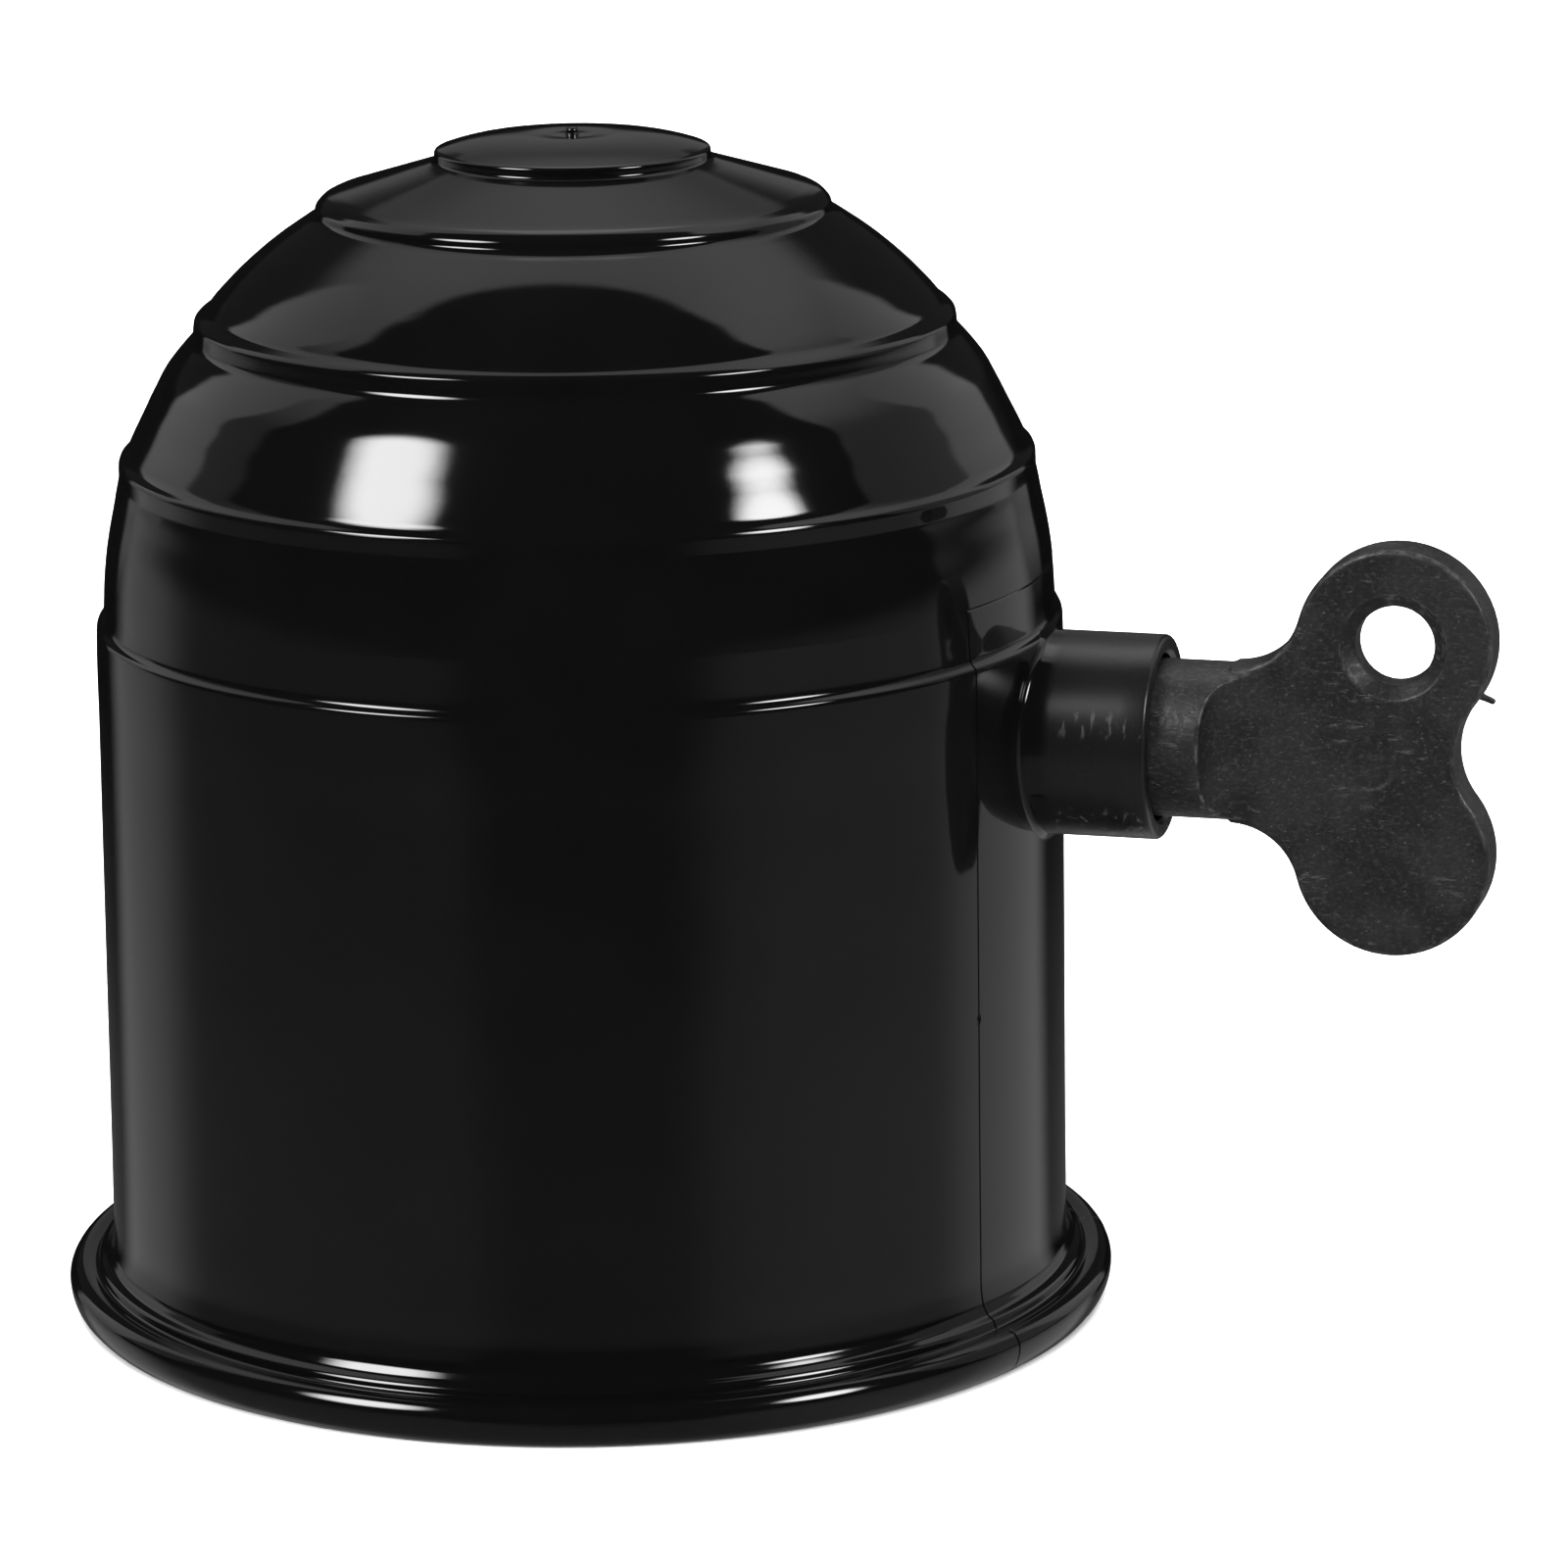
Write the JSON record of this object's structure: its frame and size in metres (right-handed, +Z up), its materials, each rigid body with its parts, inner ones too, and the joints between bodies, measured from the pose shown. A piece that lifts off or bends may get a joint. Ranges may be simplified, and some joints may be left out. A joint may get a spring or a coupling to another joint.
{
  "type": "tow ball cover",
  "caption": "Domed gloss-black cap for a 50 mm tow ball, clamped on it by a turning key in the side boss.",
  "frame": {"origin": "centre of the round mouth, on the cap's axis, in the plane of the rim's flat underside", "axes": "+Z up along the cap's axis towards the crown, +X from that axis out along the key, +Y to the left of the key seen from above"},
  "size_m": [0.0931, 0.068, 0.076],
  "materials": {
    "black_gloss": "high gloss moulded black, faint orange peel",
    "black_satin": "satin black with a fine leather-like grain, scuffed",
    "grey_nylon": "satin dark grey nylon",
    "black_rubber": "matte black rubber",
    "pad_rubber": "matte black rubber, grooved",
    "spring_steel": "bright spring steel"
  },
  "bodies": {
    "cap": {"cap_shell": "black_gloss"},
    "shoe": {"clamp_shoe": "grey_nylon", "shoe_pad": "pad_rubber"},
    "key": {"clamp_key": "black_satin", "key_seal": "black_rubber", "shoe_clip": "spring_steel"}
  },
  "joints": [
    {"name": "shoe_slide", "type": "slide", "parent": "cap", "child": "shoe", "axis": [-1, 0, 0], "range_m": [0, 0.0025]},
    {"name": "key_turn", "type": "hinge", "parent": "shoe", "child": "key", "pos_m": [0.0305, 0, 0.0385], "axis": [-1, 0, 0], "range_deg": [0, 180]}
  ],
  "couplings": [
    {"joint": "shoe_slide", "follows": "key_turn", "m_per_rad": 0.00079577}
  ]
}
